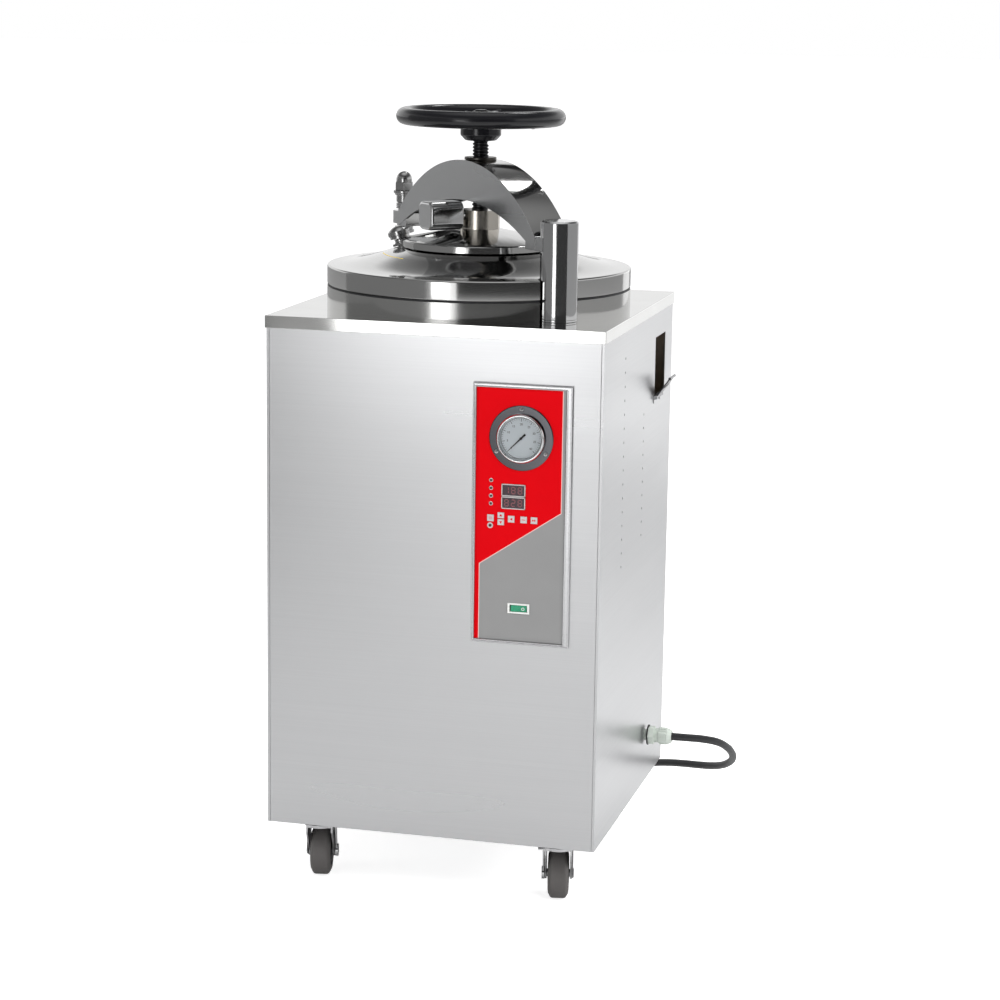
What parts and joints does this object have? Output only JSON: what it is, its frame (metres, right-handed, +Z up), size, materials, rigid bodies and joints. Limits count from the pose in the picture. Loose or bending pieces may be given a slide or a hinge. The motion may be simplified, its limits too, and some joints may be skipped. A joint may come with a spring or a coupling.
{
  "type": "vertical steam autoclave",
  "caption": "Vertical top-loading steam autoclave on casters, with a swing-over beam, a handwheel lid and a front control panel.",
  "frame": {"origin": "on the floor, under the middle of the cabinet", "axes": "+X to the machine's right as its front faces the viewer, +Y to its back, +Z up"},
  "size_m": [0.659, 0.678, 1.1535],
  "materials": {
    "panel_steel": "satin brushed stainless",
    "deck_steel": "bright polished stainless",
    "frame_steel": "grey primer",
    "bezel_steel": "satin",
    "fascia": "satin printed plate, red and grey",
    "gauge_chrome": "polished",
    "dial": "matt enamel",
    "needle": "matt black",
    "clear_glass": "clear",
    "board": "circuit board with parts",
    "white_plastic": "moulded",
    "green_plastic": "moulded, translucent",
    "key_plastic": "moulded",
    "seal_rubber": "matt silicone",
    "insulation": "mineral wool blanket",
    "heater_sheath": "oxidised sheath",
    "brass": "as machined",
    "zinc": "zinc plated pressing",
    "wheel_rubber": "moulded grey rubber",
    "gland_plastic": "moulded nylon",
    "cord_rubber": "extruded",
    "boss_steel": "turned",
    "spindle_black": "black oxide",
    "handwheel_black": "polished phenolic"
  },
  "bodies": {
    "cabinet": {"base_frame": "frame_steel", "base_plate": "panel_steel", "front_panel": "panel_steel", "left_panel": "panel_steel", "right_panel": "panel_steel", "back_panel": "panel_steel", "deck_plate": "deck_steel", "control_bezel": "bezel_steel", "control_fascia": "fascia", "gauge_case": "gauge_chrome", "gauge_dial": "dial", "gauge_glass": "clear_glass", "control_board": "board", "switch_housing": "white_plastic", "chamber_vessel": "deck_steel", "lid_seal": "seal_rubber", "insulation_jacket": "insulation", "heating_element": "heater_sheath", "basket_stand": "deck_steel", "basket": "deck_steel", "pipework": "brass", "electrical_tray": "frame_steel", "lock_bolt": "deck_steel", "post_shaft": "deck_steel", "caster_plates": "zinc", "cable_gland": "gland_plastic", "power_cord": "cord_rubber", "cord_coil": "cord_rubber", "power_plug": "cord_rubber"},
    "lid_arm": {"beam_arch": "deck_steel", "spindle_nut": "brass"},
    "lid": {"lid_shell": "deck_steel", "lid_cover_disc": "deck_steel", "lid_boss": "boss_steel", "safety_valve_body": "gauge_chrome", "interlock_housing": "gauge_chrome"},
    "handwheel_spindle": {"spindle": "spindle_black", "handwheel": "handwheel_black"},
    "lock_pin": {"interlock_pin": "gauge_chrome"},
    "valve_cap": {"safety_valve_cap": "gauge_chrome"},
    "needle": {"gauge_needle": "needle"},
    "rocker": {"rocker_switch": "green_plastic"},
    "handle_right": {"side_handle_right": "gauge_chrome"},
    "handle_left": {"side_handle_left": "gauge_chrome"},
    "key_cycle": {"key_cycle": "key_plastic"},
    "key_up": {"key_up": "key_plastic"},
    "key_down": {"key_down": "key_plastic"},
    "key_shift": {"key_shift": "key_plastic"},
    "key_clear": {"key_clear": "key_plastic"},
    "key_start": {"key_start": "key_plastic"},
    "fork_fr": {"caster_fork_fr": "zinc"},
    "wheel_fr": {"caster_wheel_fr": "wheel_rubber"},
    "fork_fl": {"caster_fork_fl": "zinc"},
    "wheel_fl": {"caster_wheel_fl": "wheel_rubber"},
    "fork_br": {"caster_fork_br": "zinc"},
    "wheel_br": {"caster_wheel_br": "wheel_rubber"},
    "fork_bl": {"caster_fork_bl": "zinc"},
    "wheel_bl": {"caster_wheel_bl": "wheel_rubber"},
    "brake_fr": {"brake_lever_fr": "zinc"},
    "brake_fl": {"brake_lever_fl": "zinc"}
  },
  "joints": [
    {"name": "lid_swing", "type": "hinge", "parent": "cabinet", "child": "lid_arm", "pos_m": [0.16122, -0.16122, 1], "axis": [0, 0, 1], "range_deg": [0, 150]},
    {"name": "lid_lift", "type": "slide", "parent": "lid_arm", "child": "lid", "axis": [0, 0, 1], "range_m": [0, 0.0125]},
    {"name": "handwheel_turn", "type": "hinge", "parent": "lid", "child": "handwheel_spindle", "pos_m": [0, 0, 1.141], "axis": [0, 0, 1], "range_deg": [0, 900.01]},
    {"name": "lock_pin_slide", "type": "slide", "parent": "lid", "child": "lock_pin", "axis": [0.7071, 0.7071, 0], "range_m": [0, 0.004], "stiffness_N_per_m": 500},
    {"name": "valve_cap_lift", "type": "slide", "parent": "lid", "child": "valve_cap", "axis": [-0.2776, 0.0223, 0.9604], "range_m": [0, 0.003], "stiffness_N_per_m": 3000},
    {"name": "needle_turn", "type": "hinge", "parent": "cabinet", "child": "needle", "pos_m": [0.1324, -0.2535, 0.7044], "axis": [0, 1, 0], "range_deg": [0, 270], "stiffness_Nm_per_rad": 0.002},
    {"name": "rocker_tip", "type": "hinge", "parent": "cabinet", "child": "rocker", "pos_m": [0.132, -0.248, 0.456], "axis": [0, 0, 1], "range_deg": [-14, 0]},
    {"name": "key_cycle_press", "type": "slide", "parent": "cabinet", "child": "key_cycle", "axis": [0, 1, 0], "range_m": [0, 0.0006], "stiffness_N_per_m": 500},
    {"name": "key_up_press", "type": "slide", "parent": "cabinet", "child": "key_up", "axis": [0, 1, 0], "range_m": [0, 0.0006], "stiffness_N_per_m": 500},
    {"name": "key_down_press", "type": "slide", "parent": "cabinet", "child": "key_down", "axis": [0, 1, 0], "range_m": [0, 0.0006], "stiffness_N_per_m": 500},
    {"name": "key_shift_press", "type": "slide", "parent": "cabinet", "child": "key_shift", "axis": [0, 1, 0], "range_m": [0, 0.0006], "stiffness_N_per_m": 500},
    {"name": "key_clear_press", "type": "slide", "parent": "cabinet", "child": "key_clear", "axis": [0, 1, 0], "range_m": [0, 0.0006], "stiffness_N_per_m": 500},
    {"name": "key_start_press", "type": "slide", "parent": "cabinet", "child": "key_start", "axis": [0, 1, 0], "range_m": [0, 0.0006], "stiffness_N_per_m": 500},
    {"name": "handle_right_fold", "type": "hinge", "parent": "cabinet", "child": "handle_right", "pos_m": [0.2532, 0.135, 0.714], "axis": [0, 1, 0], "range_deg": [-33, 50]},
    {"name": "handle_left_fold", "type": "hinge", "parent": "cabinet", "child": "handle_left", "pos_m": [-0.2532, 0.135, 0.714], "axis": [0, -1, 0], "range_deg": [-33, 50]},
    {"name": "swivel_fr", "type": "hinge", "parent": "cabinet", "child": "fork_fr", "pos_m": [0.185, -0.195, 0.09], "axis": [0, 0, 1], "continuous": true},
    {"name": "wheel_fr_spin", "type": "hinge", "parent": "fork_fr", "child": "wheel_fr", "pos_m": [0.18084, -0.17544, 0.0375], "axis": [0.9781, 0.2079, 0], "continuous": true},
    {"name": "swivel_fl", "type": "hinge", "parent": "cabinet", "child": "fork_fl", "pos_m": [-0.185, -0.195, 0.09], "axis": [0, 0, 1], "continuous": true},
    {"name": "wheel_fl_spin", "type": "hinge", "parent": "fork_fl", "child": "wheel_fl", "pos_m": [-0.18916, -0.17544, 0.0375], "axis": [0.9781, 0.2079, 0], "continuous": true},
    {"name": "swivel_br", "type": "hinge", "parent": "cabinet", "child": "fork_br", "pos_m": [0.185, 0.195, 0.09], "axis": [0, 0, 1], "continuous": true},
    {"name": "wheel_br_spin", "type": "hinge", "parent": "fork_br", "child": "wheel_br", "pos_m": [0.16544, 0.19084, 0.0375], "axis": [-0.2079, 0.9781, 0], "continuous": true},
    {"name": "swivel_bl", "type": "hinge", "parent": "cabinet", "child": "fork_bl", "pos_m": [-0.185, 0.195, 0.09], "axis": [0, 0, 1], "continuous": true},
    {"name": "wheel_bl_spin", "type": "hinge", "parent": "fork_bl", "child": "wheel_bl", "pos_m": [-0.20456, 0.19084, 0.0375], "axis": [-0.2079, 0.9781, 0], "continuous": true},
    {"name": "brake_fr_press", "type": "hinge", "parent": "fork_fr", "child": "brake_fr", "pos_m": [0.18084, -0.17544, 0.0375], "axis": [0.9781, 0.2079, 0], "range_deg": [0, 25]},
    {"name": "brake_fl_press", "type": "hinge", "parent": "fork_fl", "child": "brake_fl", "pos_m": [-0.18916, -0.17544, 0.0375], "axis": [0.9781, 0.2079, 0], "range_deg": [0, 25]}
  ],
  "couplings": [
    {"joint": "handwheel_turn", "follows": "lid_lift", "rad_per_m": 1256.6}
  ]
}
